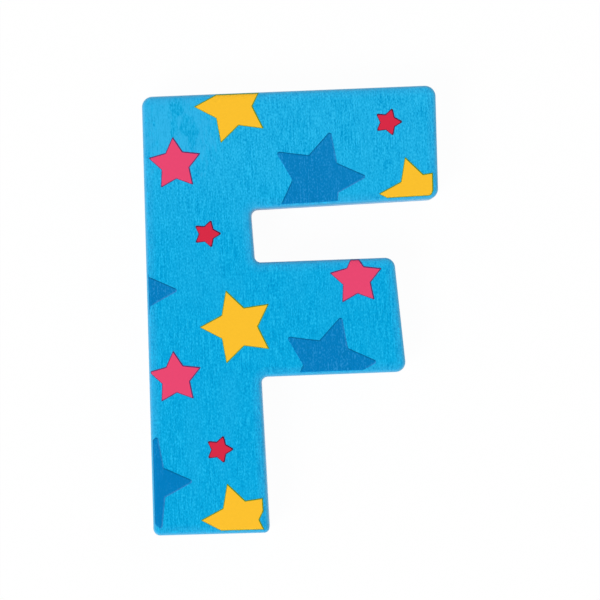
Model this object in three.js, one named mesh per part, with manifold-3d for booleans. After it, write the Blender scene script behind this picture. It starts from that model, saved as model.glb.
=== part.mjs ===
// A wooden toy letter F: five-ply board, routed to a playful outline, eased along the edges of both
// faces, painted blue and screen-printed with stars.
// Millimetres. The letter lies on its back: +X to the reader's right, +Y up the stem and +Z out of the
// printed face. The origin is on the back, under the middle of the outline.
import * as THREE from "three";
import { mergeVertices } from "three/addons/utils/BufferGeometryUtils.js";
import Module from "manifold-3d";

// Thickness of the veneers that are glued up into the board
const FACE_PLY = 1.2;
const CROSS_PLY = 2.2;
const CORE_PLY = 2.2;

// Stem: it narrows from the foot to the head along its right side
const STEM_FOOT_WIDTH = 21.0;
const STEM_WIDTH_UNDER_MIDDLE_ARM = 20.2;
const STEM_WIDTH_OVER_MIDDLE_ARM = 19.6;
const STEM_HEAD_WIDTH = 19.1;

// Middle arm: it rises a little to the right, and its end slants back towards the top
const MIDDLE_ARM_HEIGHT = 28.15;
const MIDDLE_ARM_DEPTH = 20.7;
const MIDDLE_ARM_REACH = 46.5;
const MIDDLE_ARM_SLANT = 1.7;
const MIDDLE_ARM_LIFT = 0.25;

// Top arm: its underside rises to the right, and its top falls away to the left
const ARM_GAP = 9.6;
const TOP_ARM_LIFT = 1.05;
const TOP_ARM_DEPTH = 20.5;
const TOP_ARM_REACH = 53.1;
const HEAD_DROP = 0.7;

// Rounding of the outline's corners
const HEAD_ROUND = 1.9;
const TOP_ARM_ROUND = 1.95;
const MIDDLE_ARM_ROUND = 1.85;
const FOOT_LEFT_ROUND = 1.3;
const FOOT_RIGHT_ROUND = 0.95;
const INNER_ROUND = 1.2;

// Easing of the edges of both faces, and the least radius that it leaves at an outside corner of a face
const EDGE_ROUND = 0.8;
const LEAST_FACE_CORNER = 0.1;

// Print: it sits high and to the left, so the ink stops at its own distance from each side of the outline
const INK_THICKNESS = 0.12;
const PRINT_MARGIN_LEFT = 0.33;
const PRINT_MARGIN_RIGHT = 0.86;
const PRINT_MARGIN_TOP = 0.08;
const PRINT_MARGIN_BOTTOM = 0.6;

// Paint on the board
const PAINT = { color: "#18abe1", roughness: 0.55, metalness: 0 };

// One star of each colour: radius to its points before they are rounded, radius to the notches between
// them, rounding of the points, and turn in degrees from a point that aims right
const STAR_STYLES = {
  yellow: { point: 7.0, notch: 3.65, tip: 0.13, turn: 35.1, ink: { color: "#fac032", roughness: 0.45 } },
  pink: { point: 5.0, notch: 2.67, tip: 0.13, turn: 21.6, ink: { color: "#e84670", roughness: 0.45 } },
  red: { point: 2.72, notch: 1.49, tip: 0.22, turn: 0, ink: { color: "#d62945", roughness: 0.45 } },
  dark_blue: { point: 9.1, notch: 4.55, tip: 0.28, turn: 1.2, ink: { color: "#1081c2", roughness: 0.5 } },
};

// Each star: its colour, and how far right and up of a corner of the outline its centre is
const STARS = {
  yellow_star_head: { colour: "yellow", from: "head", right: 16.35, up: -2.15 },
  pink_star_head: { colour: "pink", from: "head", right: 5.75, up: -12.3 },
  red_star_top_arm: { colour: "red", from: "topArmUpper", right: -8.7, up: -6.45 },
  yellow_star_top_arm: { colour: "yellow", from: "topArmLower", right: -3.8, up: 1.05 },
  dark_blue_star_top_arm: { colour: "dark_blue", from: "topNotch", right: 12.25, up: 5.2 },
  red_star_neck: { colour: "red", from: "topNotch", right: -7.95, up: -4.2 },
  pink_star_middle_arm: { colour: "pink", from: "middleArmUpper", right: -6.9, up: -3.7 },
  dark_blue_star_middle_arm: { colour: "dark_blue", from: "middleArmLower", right: -14.1, up: 1.8 },
  yellow_star_waist: { colour: "yellow", from: "lowerNotch", right: -3.9, up: 9.2 },
  dark_blue_star_waist: { colour: "dark_blue", from: "waist", right: -3.2, up: 15.9 },
  pink_star_waist: { colour: "pink", from: "waist", right: 4.8, up: 0.25 },
  red_star_stem: { colour: "red", from: "footLeft", right: 12.35, up: 15.3 },
  dark_blue_star_foot: { colour: "dark_blue", from: "footLeft", right: -1.4, up: 9.5 },
  yellow_star_foot: { colour: "yellow", from: "footRight", right: -5.4, up: 2.5 },
};

const STAR_POINTS = 5;
const ARC_SEGMENTS = 3;
const EDGE_SEGMENTS = 4;

const boardThickness = 2 * FACE_PLY + 2 * CROSS_PLY + CORE_PLY;
const middleArmTop = MIDDLE_ARM_HEIGHT + MIDDLE_ARM_DEPTH;
const topArmUnderside = middleArmTop + ARM_GAP;
const letterHeight = topArmUnderside + TOP_ARM_LIFT + TOP_ARM_DEPTH;

// The corners before rounding, from the foot's left corner, each with its rounding radius
const CORNERS = {
  footLeft: [0, 0, FOOT_LEFT_ROUND],
  footRight: [STEM_FOOT_WIDTH, 0, FOOT_RIGHT_ROUND],
  lowerNotch: [STEM_WIDTH_UNDER_MIDDLE_ARM, MIDDLE_ARM_HEIGHT, INNER_ROUND],
  middleArmLower: [MIDDLE_ARM_REACH, MIDDLE_ARM_HEIGHT + MIDDLE_ARM_LIFT, MIDDLE_ARM_ROUND],
  middleArmUpper: [MIDDLE_ARM_REACH - MIDDLE_ARM_SLANT, middleArmTop + MIDDLE_ARM_LIFT, MIDDLE_ARM_ROUND],
  middleNotch: [STEM_WIDTH_OVER_MIDDLE_ARM, middleArmTop, INNER_ROUND],
  topNotch: [STEM_HEAD_WIDTH, topArmUnderside, INNER_ROUND],
  topArmLower: [TOP_ARM_REACH, topArmUnderside + TOP_ARM_LIFT, TOP_ARM_ROUND],
  topArmUpper: [TOP_ARM_REACH, letterHeight, TOP_ARM_ROUND],
  head: [0, letterHeight - HEAD_DROP, HEAD_ROUND],
};

// Where stars are set out from: the corners, and the left side level with the middle arm's underside
const STAR_ORIGINS = { ...CORNERS, waist: [0, MIDDLE_ARM_HEIGHT] };

const wasm = await Module();
wasm.setup();

// A closed geometry as a solid that can be joined and cut
function toSolid(geometry) {
  const bare = geometry.clone();
  bare.deleteAttribute("normal");
  bare.deleteAttribute("uv");
  const merged = mergeVertices(bare);
  return new wasm.Manifold(
    new wasm.Mesh({
      numProp: 3,
      vertProperties: merged.attributes.position.array,
      triVerts: new Uint32Array(merged.index.array),
    }),
  );
}

// A solid as a geometry with flat facets
function toGeometry(solid) {
  const { vertProperties, triVerts } = solid.getMesh();
  const indexed = new THREE.BufferGeometry();
  indexed.setAttribute("position", new THREE.BufferAttribute(vertProperties, 3));
  indexed.setIndex(new THREE.BufferAttribute(triVerts, 1));
  const faceted = indexed.toNonIndexed();
  faceted.computeVertexNormals();
  return faceted;
}

// A closed outline, drawn counterclockwise through [x, y, radius] corners, with an arc at each corner
function roundedShape(corners) {
  const shape = new THREE.Shape();
  const points = corners.map(([x, y]) => new THREE.Vector2(x, y));
  points.forEach((corner, i) => {
    const arriving = corner.clone().sub(points.at(i - 1)).normalize();
    const leaving = points[(i + 1) % points.length].clone().sub(corner).normalize();
    const turn = Math.atan2(arriving.cross(leaving), arriving.dot(leaving));
    const side = Math.sign(turn);
    const leastRadius = side > 0 ? EDGE_ROUND + LEAST_FACE_CORNER : 0;
    const radius = Math.max(corners[i][2], leastRadius);
    const start = corner.clone().addScaledVector(arriving, -radius * Math.tan(Math.abs(turn) / 2));
    const centre = new THREE.Vector2(-arriving.y, arriving.x).multiplyScalar(side * radius).add(start);
    const startAngle = start.clone().sub(centre).angle();
    shape.absarc(centre.x, centre.y, radius, startAngle, startAngle + turn, side < 0);
  });
  shape.closePath();
  return shape;
}

const letterShape = roundedShape(Object.values(CORNERS));

// The routed board, all plies together, with both faces eased
function makeBlank() {
  const geometry = new THREE.ExtrudeGeometry(letterShape, {
    depth: boardThickness - 2 * EDGE_ROUND,
    curveSegments: ARC_SEGMENTS,
    bevelThickness: EDGE_ROUND,
    bevelSize: EDGE_ROUND,
    bevelOffset: -EDGE_ROUND,
    bevelSegments: EDGE_SEGMENTS,
  });
  return toSolid(geometry.translate(0, 0, EDGE_ROUND));
}

// One veneer: the slice of the blank between two heights, cut by a slab wider than the letter
function slicePly(blank, bottom, thickness) {
  const slab = new THREE.BoxGeometry(2 * TOP_ARM_REACH, 2 * letterHeight, thickness);
  slab.translate(TOP_ARM_REACH / 2, letterHeight / 2, bottom + thickness / 2);
  return blank.intersect(toSolid(slab));
}

// A star outline with rounded points
function starShape({ point, notch, tip, turn }) {
  const step = Math.PI / STAR_POINTS;
  const halfAngle = Math.atan2(notch * Math.sin(step), point - notch * Math.cos(step));
  const tipCentre = point - tip / Math.sin(halfAngle);
  const tipSweep = Math.PI / 2 - halfAngle;
  const shape = new THREE.Shape();
  for (let i = 0; i < STAR_POINTS; i += 1) {
    const aim = THREE.MathUtils.degToRad(turn) + 2 * step * i;
    const notchAim = aim + step;
    shape.absarc(tipCentre * Math.cos(aim), tipCentre * Math.sin(aim), tip, aim - tipSweep, aim + tipSweep);
    shape.lineTo(notch * Math.cos(notchAim), notch * Math.sin(notchAim));
  }
  shape.closePath();
  return shape;
}

// An outline moved over the front and made as deep as the eased edge and the ink on the face
function faceCutter(shape, right, up) {
  const geometry = new THREE.ExtrudeGeometry(shape, {
    depth: EDGE_ROUND + 2 * INK_THICKNESS,
    curveSegments: ARC_SEGMENTS,
    bevelEnabled: false,
  });
  return toSolid(geometry.translate(right, up, boardThickness - EDGE_ROUND));
}

// Ink all over the front, following the eased edge and stopping at each side's margin
function makeInkLayer(blank) {
  const raised = blank.translate([0, 0, INK_THICKNESS]);
  return raised
    .subtract(blank)
    .intersect(faceCutter(letterShape, PRINT_MARGIN_LEFT, 0))
    .intersect(faceCutter(letterShape, -PRINT_MARGIN_RIGHT, 0))
    .intersect(faceCutter(letterShape, 0, -PRINT_MARGIN_TOP))
    .intersect(faceCutter(letterShape, 0, PRINT_MARGIN_BOTTOM));
}

function addPiece(parent, name, solid, finish) {
  const mesh = new THREE.Mesh(toGeometry(solid), new THREE.MeshStandardMaterial(finish));
  mesh.name = name;
  parent.add(mesh);
}

// The five veneers, from the back to the printed front
function addPlies(parent, blank) {
  const layers = [
    ["back_face_ply", FACE_PLY],
    ["back_cross_ply", CROSS_PLY],
    ["core_ply", CORE_PLY],
    ["front_cross_ply", CROSS_PLY],
    ["front_face_ply", FACE_PLY],
  ];
  let bottom = 0;
  for (const [name, thickness] of layers) {
    addPiece(parent, name, slicePly(blank, bottom, thickness), PAINT);
    bottom += thickness;
  }
}

// The printed stars, each cut off where it runs past the ink's margins
function addStars(parent, blank) {
  const inkLayer = makeInkLayer(blank);
  for (const [name, { colour, from, right, up }] of Object.entries(STARS)) {
    const [x, y] = STAR_ORIGINS[from];
    const { ink, ...sizes } = STAR_STYLES[colour];
    const star = inkLayer.intersect(faceCutter(starShape(sizes), x + right, y + up));
    addPiece(parent, name, star, ink);
  }
}

const letter = new THREE.Group();
letter.position.set(-TOP_ARM_REACH / 2, -letterHeight / 2, 0);
const blank = makeBlank();
addPlies(letter, blank);
addStars(letter, blank);

const part = new THREE.Group();
part.add(letter);

export default part;
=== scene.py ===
import math
from collections import namedtuple

import bpy
import numpy as np
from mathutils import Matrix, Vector
from mathutils.geometry import delaunay_2d_cdt


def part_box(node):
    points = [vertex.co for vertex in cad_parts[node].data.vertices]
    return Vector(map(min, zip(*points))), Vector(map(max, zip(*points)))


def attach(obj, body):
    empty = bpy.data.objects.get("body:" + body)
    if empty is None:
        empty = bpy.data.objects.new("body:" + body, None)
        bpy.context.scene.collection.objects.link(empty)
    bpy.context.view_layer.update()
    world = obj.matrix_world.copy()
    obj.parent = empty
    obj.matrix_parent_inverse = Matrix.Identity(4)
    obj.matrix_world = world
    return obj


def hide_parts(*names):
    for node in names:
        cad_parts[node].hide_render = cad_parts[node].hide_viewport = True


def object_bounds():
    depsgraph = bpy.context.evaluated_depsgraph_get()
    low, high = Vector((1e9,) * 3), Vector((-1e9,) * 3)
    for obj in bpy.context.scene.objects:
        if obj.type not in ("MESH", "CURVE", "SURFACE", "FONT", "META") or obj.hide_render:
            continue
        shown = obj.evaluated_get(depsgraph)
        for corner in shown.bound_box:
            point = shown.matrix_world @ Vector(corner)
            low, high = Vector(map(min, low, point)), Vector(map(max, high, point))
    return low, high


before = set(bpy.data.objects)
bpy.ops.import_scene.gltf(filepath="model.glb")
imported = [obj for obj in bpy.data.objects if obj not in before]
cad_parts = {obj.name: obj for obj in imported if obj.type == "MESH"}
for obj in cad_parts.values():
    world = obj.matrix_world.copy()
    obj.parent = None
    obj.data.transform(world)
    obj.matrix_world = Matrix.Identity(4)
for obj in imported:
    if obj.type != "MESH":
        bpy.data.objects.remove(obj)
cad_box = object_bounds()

MM = 0.001
BODY = "root"


def srgb(code):
    """A colour written as #rrggbb, as linear red, green, blue and a full alpha."""
    channels = [int(code[i:i + 2], 16) / 255 for i in (1, 3, 5)]
    return [c / 12.92 if c <= 0.04045 else ((c + 0.055) / 1.055) ** 2.4 for c in channels] + [1]


# Plies, from the back to the printed front, and the axis that each one's fibres run along
BACK_PLY = "back_face_ply"
CORE_PLY = "core_ply"
FRONT_PLY = "front_face_ply"
PLIES = {
    BACK_PLY: "Y",
    "back_cross_ply": "X",
    CORE_PLY: "Y",
    "front_cross_ply": "X",
    FRONT_PLY: "Y",
}

# How the solids' outlines are read
WELD = 1e-7  # points nearer to each other than this are one
LOOKS_UP = 0.2  # least height of the normal of a face that looks up
STRAIGHT_TURN = math.radians(0.5)  # an outline that turns less than this runs straight on
SHARP_TURN = math.radians(30)  # an outline that turns more than this has a corner
LONGEST_CHORD = 0.6 * MM  # two sides that are both longer than this meet in a corner
LONG_SIDE = 3  # a side so many times longer than the next is straight where they meet

# Fineness of the meshes
LEAST_STEPS = 3  # for each chord or side of an outline
LETTER_STEP = 0.7 * MM
STAR_STEP = 0.25 * MM
FACE_GRID = 0.8 * MM
STAR_GRID = 0.5 * MM
EASING_STEPS = 9
SMOOTH_ANGLE = math.radians(35)

# Settings of the triangulation: it keeps what lies inside the outline, and joins points as near as this
KEEP_INSIDE = 1
JOIN_NEARER = 1e-9

# Glue lines between the plies, which the paint bridges but doesn't quite fill
GLUE_GROOVE = 0.06 * MM

# The walls are grained, and take the painted border sheen and edge highlight, like a place on the face this
# many millimetres from the outline
WALL_EDGE = 0.3

# Ink films: height, width of their rounded rims, and how deep they are keyed into the paint
INK_HEIGHT = 0.05 * MM
INK_RIM = 0.1 * MM
INK_KEY = 0.012 * MM

# Points of the ink films: rings along the rim, and lines along the rings of the letter's eased edge
RIM_DEPTHS = [INK_RIM * share for share in (0.06, 0.22, 0.5, 1, 1.8, 2.6, 3.4)]
RIM_REACH = RIM_DEPTHS[-1]
TRUE_SHARE = 0.95  # a ring's point is kept where it has this share of the ring's depth
FIRST_SEAM = 2  # the ring of the first line, counted from the outline as 0
SEAM_CLEARANCE = 2 * INK_RIM

# Rounding of the stars' points, in times that of the solids: of the colour, and of its white underprint
POINT_GROWTH = {
    "yellow": (1, 1),
    "pink": (1, 1.75),
    "red": (1.1, 1.6),
    "dark_blue": (1.4, 1.4),  # it has no underprint
}
TIP_CHORD = 0.2 * MM  # the chords of a point's arc are shorter than this
EVEN_REACH = 0.01  # a point is whole where its arc's ends are equally far from the tip, within this share

# White underprint: smaller than its colour all round, printed a little to the lower left, with a soft rim
UNDERPRINT_CHOKE = 0.165 * MM
UNDERPRINT_SHIFT = Vector((-0.045 * MM, -0.04 * MM))
UNDERPRINT_BLUR = 0.06 * MM
RIM_COVER = 0.1  # how far the colour hides the blue paint where it has no underprint

# Directions that the thick rims of the dark blue ink face, and its thin and broken rims
THICK_FACING = math.radians(112)
THIN_FACING = math.radians(-35)

# Bake maps: gap between islands, margin, and scale of the faces that are glued or keyed out of sight
MAP_NAME = "OFBake"
MAP_GAP = 0.4 * MM
MAP_MARGIN = 0.002
HIDDEN_SCALE = 0.2

# Noise: its mean, and its detail and roughness unless a texture has its own
NOISE_MEAN = 0.5
NOISE_DETAIL = 2.0
NOISE_ROUGHNESS = 0.5
PLAIN_DETAIL = 1.0  # of streaks, figure and vessels

# Veneer: short dashes, long streaks, the figure that both follow, pores and hair-fine vessel lines
DASH_WIDTH = 0.22 * MM
DASH_LENGTH = 0.44 * MM
STREAK_WIDTH = 0.3 * MM
STREAK_LENGTH = 3.0 * MM
FIGURE_WIDTH = 5 * MM
FIGURE_LENGTH = 14 * MM
PORE_WIDTH = 0.2 * MM
PORE_LENGTH = 1.1 * MM
VESSEL_WIDTH = 0.08 * MM
VESSEL_LENGTH = 1.2 * MM
GRAIN_RELIEF = 0.012 * MM
GRAIN_BUMP = 0.5
FULL_GRAIN = 0.235  # fibres this far from 0 have the palest or the deepest colour

# Ranges: from a value to a value, and then what these two become, unless that is 0 and 1
STREAKS_BY_FIGURE = (0.35, 0.65, 0.35, 0.7)
FIBRES_BY_FIGURE = (0.3, 0.7, 0.85, 1.12)
PORES_BY_NOISE = (0.57, 0.4)
PORES_BY_FIGURE = (0.55, 0.75, 0.1, 0.5)
VESSELS_BY_NOISE = (0.58, 0.66, 0.0, 0.6)
ROUGHNESS_BY_FIBRES = (-0.3, 0.3, 0.44, 0.34)
GRAIN_BY_EDGE = (0.0, 0.7)  # millimetres from the outline, as in each range by edge
BORDER_SHEEN_BY_EDGE = (2.2, 0.1, 0.0, 0.75)
EDGE_HIGHLIGHT_BY_EDGE = (0.65, 0.1)
PATCH_BY_REACH = (1.1, 0.5)

# Stretches of the front with thin paint and crowded pores: middle in plan, and half width and length
PORE_PATCHES = (
    ((-20.4 * MM, 37.0 * MM), (1.7 * MM, 2.6 * MM)),
    ((-20.9 * MM, 33.9 * MM), (0.8 * MM, 2.8 * MM)),
    ((-18.8 * MM, 34.0 * MM), (1.1 * MM, 2.8 * MM)),
    ((-17.6 * MM, 32.4 * MM), (1.2 * MM, 3.2 * MM)),
)
THIN_PAINT = 0.85  # how thin it is there

# The stretch of the front around them in which thicker paint hides most of the fibres, and which a painted
# sheen makes paler
SMOOTH_PATCH = ((-20.0 * MM, 33.5 * MM), (8.0 * MM, 9.0 * MM))
SMOOTH_HIDES = 0.6
SMOOTH_SHEEN_SHARE = 0.8

# How ragged the borders of these stretches are
RAGGED_CELLS = (0.6 * MM, 2.0 * MM, 1.0 * MM)
RAGGED_REACH = 2.0

# Colours of the paint and of its paler grain: low on the letter, and with a painted sheen at its head
PAINT_LOW = srgb("#09a9e0")
PAINT_HEAD_SHEEN = srgb("#21b3e7")
PALE_LOW = srgb("#24c0f3")
PALE_HEAD_SHEEN = srgb("#37c4f6")

# Colours of the deeper grain, the pores, the smooth stretch with its painted sheen, the painted sheen along
# the borders and the painted highlight on the eased edges
PAINT_DEEP = srgb("#0091cc")
PAINT_PORE = srgb("#009ad0")
PAINT_SMOOTH_SHEEN = srgb("#36b6ea")
PAINT_BORDER_SHEEN = srgb("#39aadf")
PAINT_EDGE_HIGHLIGHT = srgb("#52abd6")

# Gloss of the paint, and how strongly the painted sheen of the head colour mixes in clouds
PAINT_SPECULAR = 0.35
PAINT_GLOSS = (0.02, 0.7, 1.0, 1)
PAINT_CLOUD = 1.5

# Colours of the inks
INKS = {
    "yellow": srgb("#fac02c"),
    "pink": srgb("#e84670"),
    "red": srgb("#d62844"),
    "dark_blue": srgb("#087ec0"),
}

# Opaque inks: the faint mottle of their surface, and their gloss
MOTTLE_CELL = 0.5 * MM
MOTTLE_DETAIL = 3.0
MOTTLE_ROUGHNESS = 0.6
MOTTLE_RELIEF = 0.004 * MM
MOTTLE_BUMP = 0.2
MOTTLE_SHADES = (0.985, 1.01)
SHADE_BY_MOTTLE = (0.3, 0.7)
ROUGHNESS_BY_MOTTLE = (0.2, 0.8, 0.44, 0.38)
INK_SPECULAR = 0.3
WHITE_GLOSS = 0.3  # share of white in the colour of the gloss

# See-through ink: its colour low on the letter (towards the head it takes a painted sheen), in pale grain and
# where it is thin, and its darker shades
SEE_THROUGH_INK = "dark_blue"
INK_LOW = srgb("#007abe")
INK_PALE = srgb("#2a94d6")
INK_THIN = srgb("#3f8ccc")
DEEP_SHADE = 0.9
PORE_SHADE = 0.86
THICK_SHADE = 0.6
BREAK_CELL = 0.3 * MM
CALM_BY_HEIGHT = (-32 * MM, -12 * MM, 0.3, 1.0)  # the grain shows less low on the letter
THICK_BY_FACING = (-0.2, 0.8)
THIN_BY_FACING = (0.2, 1.0)
THIN_BY_EDGE = (0.7, 1.5)
THIN_BY_BREAKS = (0.36, 0.6, 0.25, 1.0)

# Studio: a wide white floor, a sky that is darker overhead, and two soft boxes
WHITE = (1, 1, 1, 1)
FLOOR_HALF = 4.0
FLOOR_CELLS = 8
FLOOR_WHITE = (0.92, 0.92, 0.92, 1)
FLOOR_GLOW = 0.97
SKY_HORIZON = 0.95
SKY_ZENITH = 0.1
SKY_DARK_FROM = 0.3
SKY_DARK_AT = 0.9
KEY_PLACE = Vector((-1.35, -1.2, 2.1))
KEY_SIZE = 1.35
KEY_POWER = 53.9
FILL_PLACE = Vector((1.65, 1.2, 1.95))
FILL_SIZE = 1.8
FILL_POWER = 13.2

# Camera: it looks straight down on the face, and the letter is turned a little in the picture
VIEW_WIDTH = 108.3 * MM
VIEW_CENTRE = Vector((1.06 * MM, 1.87 * MM))
VIEW_TURN = math.radians(-1.55)
LENS = 200
SENSOR = 36
CLIP_START = 10 * MM


# Outlines in plan

def upper_outline(node):
    """The outline of a node's upward faces, counterclockwise, as plan points."""
    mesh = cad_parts[node].data
    numbers = {}
    welded = [numbers.setdefault(tuple(round(c / WELD) for c in v.co), len(numbers)) for v in mesh.vertices]
    plan = {number: vertex.co.xy for number, vertex in zip(welded, mesh.vertices)}
    edges = set()
    for face in mesh.polygons:
        if face.normal.z > LOOKS_UP:
            ring = [welded[v] for v in face.vertices]
            for edge in zip(ring, ring[1:] + ring[:1]):
                if edge[::-1] in edges:
                    edges.remove(edge[::-1])
                else:
                    edges.add(edge)
    after = dict(edges)
    loop = [min(after)]
    while after[loop[-1]] != loop[0]:
        loop.append(after[loop[-1]])
    return [plan[number].copy() for number in loop]


def turn_at(loop, i):
    """How far a loop turns at a point, counterclockwise."""
    arriving = loop[i] - loop[i - 1]
    leaving = loop[(i + 1) % len(loop)] - loop[i]
    return math.atan2(arriving.x * leaving.y - arriving.y * leaving.x, arriving.dot(leaving))


def tangents_at(loop, i):
    """The directions in which a curve through a loop's points reaches and leaves one of them."""
    arriving = loop[i] - loop[i - 1]
    leaving = loop[(i + 1) % len(loop)] - loop[i]
    if abs(turn_at(loop, i)) > SHARP_TURN or min(arriving.length, leaving.length) > LONGEST_CHORD:
        return arriving.normalized(), leaving.normalized()
    if arriving.length > LONG_SIDE * leaving.length:
        along = arriving.normalized()
    elif leaving.length > LONG_SIDE * arriving.length:
        along = leaving.normalized()
    else:
        along = (arriving.normalized() * leaving.length + leaving.normalized() * arriving.length).normalized()
    return along, along


def corners_of(loop):
    """A loop without the points at which it runs straight on."""
    return [p for i, p in enumerate(loop) if abs(turn_at(loop, i)) > STRAIGHT_TURN]


def meeting_point(a, b, c, d):
    """Where the line through a and b meets the line through c and d."""
    along = b - a
    across = d - c
    return a + along * ((c - a).cross(across) / along.cross(across))


def arcs_of(loop):
    """The arcs at a star's points, each as the numbers of the loop's points along it."""
    is_chord = [(loop[i + 1 - len(loop)] - p).length < TIP_CHORD for i, p in enumerate(loop)]
    arcs = []
    for start in range(len(loop)):
        if is_chord[start] and not is_chord[start - 1]:
            arc = [start]
            while is_chord[arc[-1]]:
                arc.append((arc[-1] + 1) % len(loop))
            arcs.append(arc)
    return arcs


def with_points_grown(loop, growth):
    """A star's corners with the arcs at its whole points grown about the tips that they round off."""
    grown = list(loop)
    for arc in arcs_of(loop):
        first, last = loop[arc[0]], loop[arc[-1]]
        tip = meeting_point(loop[arc[0] - 1], first, last, loop[arc[-1] + 1 - len(loop)])
        if math.isclose((first - tip).length, (last - tip).length, rel_tol=EVEN_REACH):
            for i in arc:
                grown[i] = tip + growth * (loop[i] - tip)
    return grown


def finer_loop(loop, longest):
    """A loop of corners with its chords turned back into arcs, in steps no longer than a length."""
    tangents = [tangents_at(loop, i) for i in range(len(loop))]
    finer = []
    for i, start in enumerate(loop):
        j = (i + 1) % len(loop)
        end = loop[j]
        length = (end - start).length
        handles = start + tangents[i][1] * length / 3, end - tangents[j][0] * length / 3
        steps = max(LEAST_STEPS, math.ceil(length / longest))
        for step in range(steps):
            t = step / steps
            parts = (1 - t) ** 3, 3 * t * (1 - t) ** 2, 3 * t * t * (1 - t), t ** 3
            finer.append(sum((p * s for p, s in zip((start, *handles, end), parts)), Vector((0, 0))))
    return np.array(finer)


def edge_vectors(loop):
    """Unit vectors along the side that reaches each point of a loop, and along the side that leaves it."""
    leaving = np.roll(loop, -1, axis=0) - loop
    leaving /= np.linalg.norm(leaving, axis=1, keepdims=True)
    return np.roll(leaving, 1, axis=0), leaving


def inset(loop, depth):
    """A counterclockwise loop moved inwards, with mitred corners."""
    arriving, leaving = edge_vectors(loop)
    before = np.stack([-arriving[:, 1], arriving[:, 0]], 1)
    after = np.stack([-leaving[:, 1], leaving[:, 0]], 1)
    mitre = (before + after) / (1 + (before * after).sum(1, keepdims=True))
    return loop + depth * mitre


def outward(loop):
    """Unit vectors that point out of a counterclockwise loop at its points."""
    arriving, leaving = edge_vectors(loop)
    along = arriving + leaving
    along /= np.linalg.norm(along, axis=1, keepdims=True)
    return np.stack([along[:, 1], -along[:, 0]], 1)


def run_round(loop):
    """The distance round a loop at each point, and at the end the whole way round."""
    sides = np.linalg.norm(np.roll(loop, -1, axis=0) - loop, axis=1)
    return np.concatenate([[0], np.cumsum(sides)])


def distance_to(loop, points):
    """The distance from each point to the nearest side of a loop."""
    sides = np.roll(loop, -1, axis=0) - loop
    reach = points[:, None] - loop[None]
    share = (reach * sides).sum(2) / (sides ** 2).sum(1)
    gap = reach - np.clip(share, 0, 1)[..., None] * sides
    return np.sqrt((gap ** 2).sum(2).min(1))


def is_inside(loop, points):
    """Whether each point lies inside a loop."""
    ends = np.roll(loop, -1, axis=0)
    x, y = points[:, :1], points[:, 1:]
    spans = (loop[:, 1] > y) != (ends[:, 1] > y)
    rise = np.where(ends[:, 1] == loop[:, 1], 1, ends[:, 1] - loop[:, 1])
    crossing = loop[:, 0] + (y - loop[:, 1]) * (ends[:, 0] - loop[:, 0]) / rise
    return (spans & (x < crossing)).sum(1) % 2 == 1


def kept_inside(loop, points, clearance):
    """The points that lie inside a loop and clear of it."""
    points = points[is_inside(loop, points)]
    return points[distance_to(loop, points) > clearance]


def grid_inside(loop, step):
    """Points of a staggered grid that lie inside a loop and clear of it."""
    low, high = loop.min(0), loop.max(0)
    rows = []
    for i, y in enumerate(np.arange(low[1], high[1], step * math.sqrt(3) / 2)):
        x = np.arange(low[0] + step / 2 * (i % 2), high[0], step)
        rows.append(np.stack([x, np.full_like(x, y)], 1))
    return kept_inside(loop, np.concatenate(rows), step / 2)


def fill(loop, inner):
    """Triangles over the area inside a loop, as numbers of points: the loop's, and then the inner ones."""
    points = [Vector(p) for p in np.concatenate([loop, inner])]
    made = delaunay_2d_cdt(points, [], [list(range(len(loop)))], KEEP_INSIDE, JOIN_NEARER)
    origins = [origin[0] for origin in made[3]]
    return [[origins[v] for v in face] for face in made[2]]


# The letter as a whole, measured from the CAD parts

letter_corners = corners_of(upper_outline(CORE_PLY))
letter = finer_loop(letter_corners, LETTER_STEP)
fine_letter = finer_loop(letter_corners, STAR_STEP)
face_low, face_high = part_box(FRONT_PLY)
board_top = face_high.z
face_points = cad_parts[FRONT_PLY].data.vertices
flat_left = min(v.co.x for v in face_points if v.co.z > board_top - WELD)
edge_round = flat_left - face_low.x


def easing(depth):
    """How far the eased edge lies under the face, at a depth in from the outline."""
    short = np.clip(edge_round - depth, 0, edge_round)
    return edge_round - np.sqrt(edge_round ** 2 - short ** 2)


def easing_depths():
    """Depths in from the outline of the rings that make the eased edge."""
    angles = np.linspace(0, math.pi / 2, EASING_STEPS + 1)
    return edge_round * (1 - np.cos(angles))


# Meshes

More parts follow.
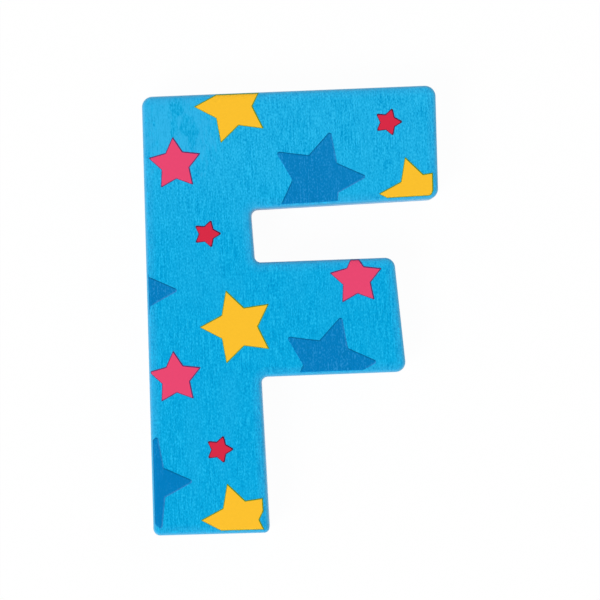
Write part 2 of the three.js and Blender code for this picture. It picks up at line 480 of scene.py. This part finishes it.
class Skin:
    """A closed mesh in the making: points with their values, and faces with their places on the bake map."""

    def __init__(self):
        self.points = []
        self.values = {}
        self.faces = []
        self.places = []

    def add_points(self, plan, heights, **values):
        """Adds points and returns their numbers."""
        first = len(self.points)
        heights = np.broadcast_to(heights, len(plan))
        self.points += [(x, y, z) for (x, y), z in zip(plan, heights)]
        for name, value in values.items():
            self.values.setdefault(name, []).extend(np.broadcast_to(value, len(plan)))
        return range(first, len(self.points))

    def add_face(self, corners, places):
        self.faces.append(corners)
        self.places.append(places)

    def add_band(self, lower, upper, chart):
        """Quads between two rings; chart gives the four places of a quad on the bake map."""
        for i in range(len(lower)):
            j = (i + 1) % len(lower)
            self.add_face((lower[i], lower[j], upper[j], upper[i]), chart(i))

    def add_cap(self, numbers, triangles, chart, up):
        """Triangles over an area; chart gives a point's place on the bake map."""
        for triangle in triangles:
            corners = triangle if up else triangle[::-1]
            self.add_face([numbers[c] for c in corners], [chart(numbers[c]) for c in corners])

    def plan_chart(self, origin, scale):
        """A chart that lays points on the bake map as they lie in plan."""
        return lambda number: origin + scale * np.array(self.points[number][:2])

    def make(self, name, material):
        """The finished object, smooth apart from its sharp edges."""
        mesh = bpy.data.meshes.new(name)
        mesh.from_pydata(self.points, [], self.faces)
        for value_name, column in self.values.items():
            layer = mesh.attributes.new(value_name, "FLOAT", "POINT")
            layer.data.foreach_set("value", column)
        places = np.concatenate([np.array(p) for p in self.places])
        places -= places.min(0)
        places = places / (places.max() * (1 + 2 * MAP_MARGIN)) + MAP_MARGIN
        layer = mesh.uv_layers.new(name=MAP_NAME)
        layer.data.foreach_set("uv", places.ravel())
        mesh.shade_smooth()
        mesh.set_sharp_from_angle(angle=SMOOTH_ANGLE)
        mesh.materials.append(material)
        obj = bpy.data.objects.new(name, mesh)
        bpy.context.scene.collection.objects.link(obj)
        return obj


def strip_chart(runs, across, origin, length, pitch):
    """A chart for bands: it unrolls them into columns of a length, and across is a band's two distances."""
    def places(i):
        column = runs[i] // length
        left = origin[0] + column * pitch
        start = origin[1] + runs[i] - column * length
        end = origin[1] + runs[i + 1] - column * length
        return [
            (left + across[0], start),
            (left + across[0], end),
            (left + across[1], end),
            (left + across[1], start),
        ]
    return places


def add_piece(skin, name, node, material):
    """Makes a mesh into a piece that stands for a CAD node."""
    piece = skin.make(name, material)
    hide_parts(node)
    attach(piece, BODY)


def ply_profile(node):
    """A ply's section from its lower to its upper cap: depth in from the outline, height, and edge value."""
    low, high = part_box(node)
    profile = [
        (GLUE_GROOVE, low.z, WALL_EDGE),
        (0, low.z + GLUE_GROOVE, WALL_EDGE),
        (0, high.z - GLUE_GROOVE, WALL_EDGE),
        (GLUE_GROOVE, high.z, WALL_EDGE),
    ]
    eased = [(d, e, d / MM) for d, e in zip(easing_depths(), easing(easing_depths()))]
    if node == FRONT_PLY:
        profile[2:] = [(d, high.z - e, edge) for d, e, edge in eased]
    if node == BACK_PLY:
        profile[:2] = [(d, low.z + e, edge) for d, e, edge in reversed(eased)]
    return profile


def add_ply_cap(skin, node, up, ring, section, hidden):
    """Closes a ply above or below, finely where it is a face of the board; hidden is a glued cap's place."""
    depth, height, _ = section
    loop = inset(letter, depth)
    if node == (FRONT_PLY if up else BACK_PLY):
        inner = grid_inside(loop, FACE_GRID)
        chart = skin.plan_chart((0, 0), 1)
    else:
        inner = np.empty((0, 2))
        chart = skin.plan_chart(hidden, HIDDEN_SCALE)
    extra = skin.add_points(inner, height, edge=distance_to(letter, inner) / MM)
    skin.add_cap([*ring, *extra], fill(loop, inner), chart, up)


def make_ply(node, material):
    """A ply with grooved glue lines, and with an eased edge where it is a face of the board."""
    skin = Skin()
    profile = ply_profile(node)
    rings = [skin.add_points(inset(letter, d), z, edge=edge) for d, z, edge in profile]
    steps = [math.dist(a[:2], b[:2]) for a, b in zip(profile, profile[1:])]
    across = np.concatenate([[0], np.cumsum(steps)])
    pitch = across[-1] + MAP_GAP
    low, size = letter.min(0), np.ptp(letter, axis=0)
    length = size[1] if node in (FRONT_PLY, BACK_PLY) else size[1] / 2
    origin = np.array([low[0] + size[0] + MAP_GAP, low[1]])
    runs = run_round(letter)
    for i, reach in enumerate(zip(across, across[1:])):
        skin.add_band(rings[i], rings[i + 1], strip_chart(runs, reach, origin, length, pitch))
    columns = math.ceil(runs[-1] / length)
    hidden = origin + [columns * pitch, 0] - HIDDEN_SCALE * low
    add_ply_cap(skin, node, False, rings[0], profile[0], hidden)
    hidden = hidden + [0, HIDDEN_SCALE * (size[1] + MAP_GAP)]
    add_ply_cap(skin, node, True, rings[-1], profile[-1], hidden)
    add_piece(skin, node + "_painted", node, material)


def star_points(outline):
    """Points inside a star's outline: rings along its rim, lines on the eased edge, a grid on the flat."""
    rings = [kept_inside(outline, inset(outline, d), TRUE_SHARE * d) for d in RIM_DEPTHS]
    seams = np.concatenate([inset(fine_letter, d) for d in easing_depths()[FIRST_SEAM:]])
    grid = grid_inside(outline, STAR_GRID)
    on_flat = distance_to(letter, grid) > edge_round + STAR_GRID / 2
    return np.concatenate([*rings, kept_inside(outline, seams, SEAM_CLEARANCE), grid[on_flat]])


def star_values(outline, underprinted, plan, rim):
    """What the inks' materials take from a star's points; past is how far they lie past the underprint."""
    nearest = np.linalg.norm(plan[:, None] - outline[None], axis=2).argmin(1)
    facing = outward(outline)[nearest]
    bare = UNDERPRINT_CHOKE - facing @ np.array(UNDERPRINT_SHIFT)
    depth = distance_to(underprinted, plan) * np.where(is_inside(underprinted, plan), 1, -1)
    return {
        "edge": distance_to(letter, plan) / MM,
        "rim": rim / MM,
        "past": (bare - depth) / MM,
        "thick": facing @ [math.cos(THICK_FACING), math.sin(THICK_FACING)],
        "thin": facing @ [math.cos(THIN_FACING), math.sin(THIN_FACING)],
    }


def make_star(node, material, growths):
    """An ink film that lies over the face and its eased edge, with a rounded rim."""
    skin = Skin()
    corners = corners_of(upper_outline(node))
    outline, underprinted = (finer_loop(with_points_grown(corners, g), STAR_STEP) for g in growths)
    inner = star_points(outline)
    plan = np.concatenate([outline, inner])
    rim = np.minimum(distance_to(outline, plan), RIM_REACH)
    rim[:len(outline)] = 0
    values = star_values(outline, underprinted, plan, rim)
    ground = board_top - easing(distance_to(letter, plan))
    rise = INK_HEIGHT * np.sqrt(1 - (1 - np.minimum(rim / INK_RIM, 1)) ** 2)
    top = skin.add_points(plan, ground + rise, **values)
    foot = skin.add_points(plan, ground - INK_KEY, **values)
    low, size = outline.min(0), np.ptp(outline, axis=0)
    origin = np.array([low[0] + size[0] + MAP_GAP, low[1]])
    runs = run_round(outline)
    chart = strip_chart(runs, (0, INK_KEY), origin, size[1], MAP_GAP)
    skin.add_band(foot[:len(outline)], top[:len(outline)], chart)
    triangles = fill(outline, inner)
    skin.add_cap(top, triangles, skin.plan_chart((0, 0), 1), True)
    columns = math.ceil(runs[-1] / size[1])
    hidden = origin + [columns * MAP_GAP, 0] - HIDDEN_SCALE * low
    skin.add_cap(foot, triangles, skin.plan_chart(hidden, HIDDEN_SCALE), False)
    add_piece(skin, node + "_ink", node, material)


# Shader nodes

def add_node(tree, kind, inputs=(), **settings):
    """A node with its settings made, and its inputs linked or set."""
    node = tree.nodes.new(kind)
    for name, value in settings.items():
        setattr(node, name, value)
    for socket, value in dict(inputs).items():
        if isinstance(value, bpy.types.NodeSocket):
            tree.links.new(value, node.inputs[socket])
        else:
            node.inputs[socket].default_value = value
    return node


def maths(tree, operation, a, b=0.0):
    return add_node(tree, "ShaderNodeMath", {0: a, 1: b}, operation=operation).outputs[0]


def remap(tree, value, start, end, low=0.0, high=1.0, curve="SMOOTHSTEP"):
    """A value taken from one range to another and held at its ends."""
    inputs = {"Value": value, "From Min": start, "From Max": end, "To Min": low, "To Max": high}
    return add_node(tree, "ShaderNodeMapRange", inputs, interpolation_type=curve).outputs[0]


def mix(tree, share, a, b):
    """A colour between two others."""
    return add_node(tree, "ShaderNodeMix", {0: share, 6: a, 7: b}, data_type="RGBA").outputs[2]


def shaded(colour, factor):
    """A lighter or darker shade of a constant colour."""
    return [c * factor for c in colour[:3]] + [1]


def attribute(tree, name):
    """A value that the mesh's points carry."""
    return add_node(tree, "ShaderNodeAttribute", attribute_name=name).outputs["Fac"]


def own_place(tree):
    """The place in the letter's own space."""
    return add_node(tree, "ShaderNodeTexCoord").outputs["Object"]


def height_up(tree):
    """How far up the letter a place lies."""
    return add_node(tree, "ShaderNodeSeparateXYZ", {0: own_place(tree)}).outputs["Y"]


def noise(tree, cells, detail=NOISE_DETAIL, roughness=NOISE_ROUGHNESS):
    """Noise in the letter's own space, with cells of a size along X, Y and Z."""
    inputs = {"Vector": own_place(tree), "Scale": [1 / c for c in cells]}
    mapped = add_node(tree, "ShaderNodeMapping", inputs).outputs[0]
    inputs = {"Vector": mapped, "Scale": 1.0, "Detail": detail, "Roughness": roughness}
    return add_node(tree, "ShaderNodeTexNoise", inputs).outputs["Fac"]


def new_material(name, settings):
    """A material with a Principled shader whose constant values are set on its sockets."""
    material = bpy.data.materials.new(name)
    material.use_nodes = True
    shader = material.node_tree.nodes["Principled BSDF"]
    for socket, value in settings.items():
        shader.inputs[socket].default_value = value
    return material, material.node_tree, shader


def bump(tree, shader, strength, distance, height):
    """Fine relief on a shader."""
    inputs = {"Strength": strength, "Distance": distance, "Height": height}
    tree.links.new(add_node(tree, "ShaderNodeBump", inputs).outputs[0], shader.inputs["Normal"])


# Veneer under the paint

Grain = namedtuple("Grain", "fibres pores figure smooth")


def fibre_cells(along, across, length):
    """Noise cells that are long in the direction of the fibres."""
    return [length if axis == along else across for axis in "XYZ"]


def patch(tree, middle, half):
    """1 in the middle of a stretch of the front, down to 0 at its ragged border."""
    scale = [1 / half[0], 1 / half[1], 1 / board_top]
    shift = [-c * s for c, s in zip((*middle, board_top), scale)]
    inputs = {"Vector": own_place(tree), "Location": shift, "Scale": scale}
    mapped = add_node(tree, "ShaderNodeMapping", inputs).outputs[0]
    reach = add_node(tree, "ShaderNodeVectorMath", {0: mapped}, operation="LENGTH").outputs["Value"]
    ragged = maths(tree, "SUBTRACT", noise(tree, RAGGED_CELLS), NOISE_MEAN)
    reach = maths(tree, "ADD", reach, maths(tree, "MULTIPLY", ragged, RAGGED_REACH))
    return remap(tree, reach, *PATCH_BY_REACH)


def veneer(tree, along):
    """Fibres around 0, pores from 0 to 1, figure around 0.5, and smooth paint from 0 to 1."""
    thin_paint = 0.0
    for stretch in PORE_PATCHES:
        thin_paint = maths(tree, "MAXIMUM", thin_paint, patch(tree, *stretch))
    thin_paint = maths(tree, "MULTIPLY", thin_paint, THIN_PAINT)
    smooth = maths(tree, "MULTIPLY", patch(tree, *SMOOTH_PATCH), maths(tree, "SUBTRACT", 1.0, thin_paint))

    dashes = noise(tree, fibre_cells(along, DASH_WIDTH, DASH_LENGTH))
    dashes = maths(tree, "SUBTRACT", dashes, NOISE_MEAN)
    streaks = noise(tree, fibre_cells(along, STREAK_WIDTH, STREAK_LENGTH), PLAIN_DETAIL)
    streaks = maths(tree, "SUBTRACT", streaks, NOISE_MEAN)
    figure = noise(tree, fibre_cells(along, FIGURE_WIDTH, FIGURE_LENGTH), PLAIN_DETAIL)
    streaks = maths(tree, "MULTIPLY", streaks, remap(tree, figure, *STREAKS_BY_FIGURE))
    fibres = maths(tree, "ADD", dashes, streaks)
    fibres = maths(tree, "MULTIPLY", fibres, remap(tree, figure, *FIBRES_BY_FIGURE))
    fibres = maths(tree, "MULTIPLY", fibres, remap(tree, smooth, 0.0, 1.0, 1.0, 1 - SMOOTH_HIDES))

    pores = remap(tree, noise(tree, fibre_cells(along, PORE_WIDTH, PORE_LENGTH)), *PORES_BY_NOISE)
    crowding = maths(tree, "MAXIMUM", thin_paint, remap(tree, figure, *PORES_BY_FIGURE))
    vessels = noise(tree, fibre_cells(along, VESSEL_WIDTH, VESSEL_LENGTH), PLAIN_DETAIL)
    vessels = remap(tree, vessels, *VESSELS_BY_NOISE)
    pores = maths(tree, "MAXIMUM", maths(tree, "MULTIPLY", pores, crowding), vessels)

    off_edge = remap(tree, attribute(tree, "edge"), *GRAIN_BY_EDGE)
    fibres, pores = (maths(tree, "MULTIPLY", value, off_edge) for value in (fibres, pores))
    return Grain(fibres, pores, figure, smooth)


def grained(tree, base, pale, deep, pore, grain):
    """A colour that the grain makes paler and deeper, and the pores darker."""
    colour = mix(tree, remap(tree, grain.fibres, 0.0, FULL_GRAIN, curve="LINEAR"), base, pale)
    colour = mix(tree, remap(tree, grain.fibres, 0.0, -FULL_GRAIN, curve="LINEAR"), colour, deep)
    return mix(tree, grain.pores, colour, pore)


def relief(tree, shader, grain):
    """Bump and gloss that follow the grain."""
    bump(tree, shader, GRAIN_BUMP, GRAIN_RELIEF, maths(tree, "SUBTRACT", grain.fibres, grain.pores))
    tree.links.new(remap(tree, grain.fibres, *ROUGHNESS_BY_FIBRES), shader.inputs["Roughness"])


def sheen_share(tree, grain):
    """How far a place takes the painted sheen of the head colour: more towards the top, and in clouds."""
    cloud = maths(tree, "MULTIPLY", maths(tree, "SUBTRACT", NOISE_MEAN, grain.figure), PAINT_CLOUD)
    return maths(tree, "ADD", remap(tree, height_up(tree), 0.0, cad_box[1].y), cloud)


# Paint and inks

def paint_material(along):
    """Thin blue paint over veneer whose fibres run along an axis, with a painted sheen towards the head,
    along the borders and on the eased edges.
    """
    settings = {"Specular IOR Level": PAINT_SPECULAR, "Specular Tint": PAINT_GLOSS}
    material, tree, shader = new_material(f"blue_paint_fibres_{along}", settings)
    grain = veneer(tree, along)
    sheen = sheen_share(tree, grain)
    # Painted sheen: the paint turns lighter towards the head and in clouds
    base = mix(tree, sheen, PAINT_LOW, PAINT_HEAD_SHEEN)
    pale = mix(tree, sheen, PALE_LOW, PALE_HEAD_SHEEN)
    # Painted sheen: the smooth stretch turns paler
    base = mix(tree, remap(tree, grain.smooth, 0.0, 1.0, 0.0, SMOOTH_SHEEN_SHARE), base, PAINT_SMOOTH_SHEEN)
    edge = attribute(tree, "edge")
    # Painted sheen: the face turns paler towards its outline
    base = mix(tree, remap(tree, edge, *BORDER_SHEEN_BY_EDGE), base, PAINT_BORDER_SHEEN)
    # Painted highlight: the eased edges turn whitish, as where they catch the light
    base = mix(tree, remap(tree, edge, *EDGE_HIGHLIGHT_BY_EDGE), base, PAINT_EDGE_HIGHLIGHT)
    colour = grained(tree, base, pale, PAINT_DEEP, PAINT_PORE, grain)
    tree.links.new(colour, shader.inputs["Base Color"])
    relief(tree, shader, grain)
    return material


def opaque_ink_material(name, ink):
    """Ink that is bright over its white underprint, and dark along its rim where it lies on blue paint."""
    gloss = [WHITE_GLOSS + (1 - WHITE_GLOSS) * c for c in ink]
    settings = {"Specular IOR Level": INK_SPECULAR, "Specular Tint": gloss}
    material, tree, shader = new_material(name, settings)
    mottle = noise(tree, [MOTTLE_CELL] * 3, MOTTLE_DETAIL, MOTTLE_ROUGHNESS)
    darkest, lightest = (shaded(ink, factor) for factor in MOTTLE_SHADES)
    colour = mix(tree, remap(tree, mottle, *SHADE_BY_MOTTLE), darkest, lightest)
    over_paint = [a * (RIM_COVER + (1 - RIM_COVER) * b) for a, b in zip(ink, PAINT_HEAD_SHEEN)]
    half_blur = UNDERPRINT_BLUR / MM / 2
    uncovered = remap(tree, attribute(tree, "past"), -half_blur, half_blur)
    tree.links.new(mix(tree, uncovered, colour, over_paint), shader.inputs["Base Color"])
    bump(tree, shader, MOTTLE_BUMP, MOTTLE_RELIEF, mottle)
    tree.links.new(remap(tree, mottle, *ROUGHNESS_BY_MOTTLE), shader.inputs["Roughness"])
    return material


def see_through_ink_material(name, ink, along):
    """Dark ink that lets the veneer's grain show, thick along some of its rims and thin along others."""
    settings = {"Specular IOR Level": PAINT_SPECULAR, "Specular Tint": PAINT_GLOSS}
    material, tree, shader = new_material(name, settings)
    grain = veneer(tree, along)
    calm = remap(tree, height_up(tree), *CALM_BY_HEIGHT)
    grain = grain._replace(fibres=maths(tree, "MULTIPLY", grain.fibres, calm))
    # Painted sheen: the ink turns from INK_LOW to its lighter colour towards the head and in clouds
    base = mix(tree, sheen_share(tree, grain), INK_LOW, ink)
    colour = grained(tree, base, INK_PALE, shaded(ink, DEEP_SHADE), shaded(ink, PORE_SHADE), grain)
    near_rim = remap(tree, attribute(tree, "rim"), RIM_REACH / MM, 0.0)
    thick = maths(tree, "MULTIPLY", near_rim, remap(tree, attribute(tree, "thick"), *THICK_BY_FACING))
    thin = maths(tree, "MULTIPLY", near_rim, remap(tree, attribute(tree, "thin"), *THIN_BY_FACING))
    thin = maths(tree, "MULTIPLY", thin, remap(tree, attribute(tree, "edge"), *THIN_BY_EDGE))
    breaks = remap(tree, noise(tree, [BREAK_CELL] * 3), *THIN_BY_BREAKS)
    thin = maths(tree, "MULTIPLY", thin, breaks)
    colour = mix(tree, thick, colour, shaded(ink, THICK_SHADE))
    tree.links.new(mix(tree, thin, colour, INK_THIN), shader.inputs["Base Color"])
    relief(tree, shader, grain)
    return material


# Studio

def floor_material():
    """White floor that looks white to the camera and in gloss, and takes only a trace of a shadow."""
    material = bpy.data.materials.new("white_floor")
    material.use_nodes = True
    tree = material.node_tree
    tree.nodes.remove(tree.nodes["Principled BSDF"])
    path = add_node(tree, "ShaderNodeLightPath").outputs
    seen = maths(tree, "MAXIMUM", path["Is Camera Ray"], path["Is Glossy Ray"])
    seen = maths(tree, "MAXIMUM", seen, path["Is Transmission Ray"])
    glow = maths(tree, "MULTIPLY", seen, FLOOR_GLOW)
    matte = add_node(tree, "ShaderNodeBsdfDiffuse", {"Color": FLOOR_WHITE}).outputs[0]
    white = add_node(tree, "ShaderNodeEmission", {"Strength": 1.0}).outputs[0]
    both = add_node(tree, "ShaderNodeMixShader", {0: glow, 1: matte, 2: white}).outputs[0]
    tree.links.new(both, tree.nodes["Material Output"].inputs["Surface"])
    return material


def make_floor():
    """A floor of square cells under the letter."""
    marks = np.linspace(-FLOOR_HALF, FLOOR_HALF, FLOOR_CELLS + 1)
    points = [(x, y, cad_box[0].z) for y in marks for x in marks]
    row = FLOOR_CELLS + 1
    starts = [y * row + x for y in range(FLOOR_CELLS) for x in range(FLOOR_CELLS)]
    mesh = bpy.data.meshes.new("floor")
    mesh.from_pydata(points, [], [(s, s + 1, s + row + 1, s + row) for s in starts])
    mesh.materials.append(floor_material())
    floor = bpy.data.objects.new("floor", mesh)
    bpy.context.scene.collection.objects.link(floor)


def make_world():
    """A studio that is white around the letter and darker overhead."""
    world = bpy.data.worlds.new("studio")
    world.use_nodes = True
    bpy.context.scene.world = world
    tree = world.node_tree
    direction = add_node(tree, "ShaderNodeTexCoord").outputs["Generated"]
    height = add_node(tree, "ShaderNodeSeparateXYZ", {0: direction}).outputs["Z"]
    strength = remap(tree, height, SKY_DARK_FROM, SKY_DARK_AT, SKY_HORIZON, SKY_ZENITH)
    tree.links.new(strength, tree.nodes["Background"].inputs["Strength"])
    tree.nodes["Background"].inputs["Color"].default_value = WHITE


def add_lamp(name, position, size, power):
    """A square soft box that faces the letter."""
    lamp = bpy.data.lights.new(name, "AREA")
    lamp.size = size
    lamp.energy = power
    obj = bpy.data.objects.new(name, lamp)
    obj.location = position
    obj.rotation_euler = (-position).to_track_quat("-Z", "Y").to_euler()
    bpy.context.scene.collection.objects.link(obj)


def add_camera():
    """A camera so far over the face that the picture is as wide as the view."""
    camera = bpy.data.cameras.new("camera")
    camera.lens = LENS
    camera.sensor_width = SENSOR
    camera.clip_start = CLIP_START
    obj = bpy.data.objects.new("camera", camera)
    obj.location = (*VIEW_CENTRE, board_top + VIEW_WIDTH * LENS / SENSOR)
    obj.rotation_euler = (0, 0, VIEW_TURN)
    bpy.context.scene.collection.objects.link(obj)
    bpy.context.scene.camera = obj


paints = {along: paint_material(along) for along in sorted(set(PLIES.values()))}
for ply, fibres in PLIES.items():
    make_ply(ply, paints[fibres])

for ink_name, ink in INKS.items():
    ink_slot = ink_name + "_ink"
    if ink_name == SEE_THROUGH_INK:
        ink_material = see_through_ink_material(ink_slot, ink, PLIES[FRONT_PLY])
    else:
        ink_material = opaque_ink_material(ink_slot, ink)
    for star in sorted(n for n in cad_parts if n.startswith(ink_name + "_star")):
        make_star(star, ink_material, POINT_GROWTH[ink_name])

make_floor()
make_world()
add_lamp("key_light", KEY_PLACE, KEY_SIZE, KEY_POWER)
add_lamp("fill_light", FILL_PLACE, FILL_SIZE, FILL_POWER)
add_camera()
bpy.context.scene.view_settings.view_transform = "Standard"
